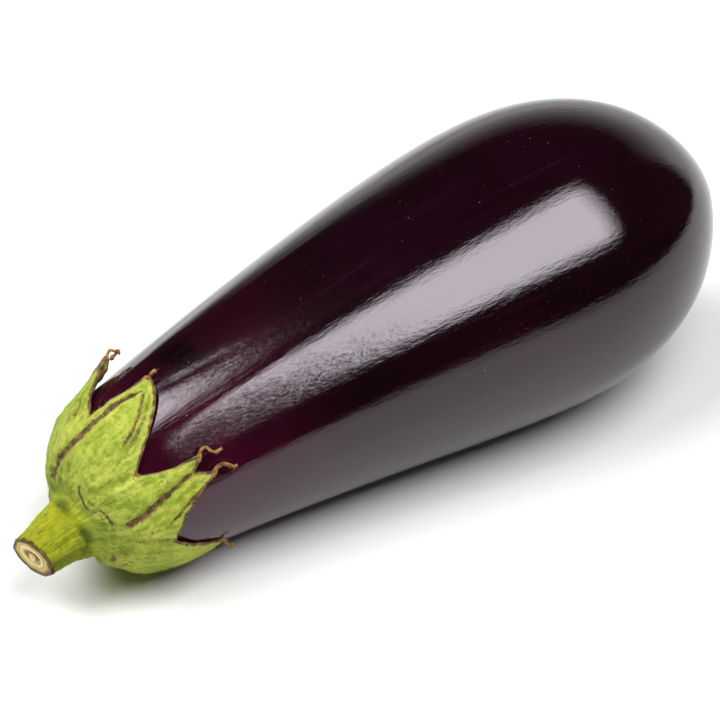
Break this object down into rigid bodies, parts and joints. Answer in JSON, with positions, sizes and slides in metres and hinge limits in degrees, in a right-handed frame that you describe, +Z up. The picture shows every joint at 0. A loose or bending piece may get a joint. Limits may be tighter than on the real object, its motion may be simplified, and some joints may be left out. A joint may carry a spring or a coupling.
{
  "type": "eggplant",
  "caption": "Eggplant lying on its side: a glossy dark purple fruit, widest near its blossom end, in a green lobed calyx with a short cut stem. Rests on a small flat spot of its belly.",
  "frame": {"origin": "centre of the small flat spot under the fruit's belly on which it rests", "axes": "+Z up when it lies at rest; +X from the stem end to the blossom end; -Y is the side that faces the viewer when the stem is at the left"},
  "size_m": [0.2228, 0.0854, 0.0861],
  "materials": {
    "aubergine_skin": "smooth waxy skin, glossy, near-black purple",
    "calyx_green": "matt downy leaf green with brown dried edges"
  },
  "bodies": {
    "root": {"fruit": "aubergine_skin", "calyx_and_stem": "calyx_green"}
  },
  "joints": []
}
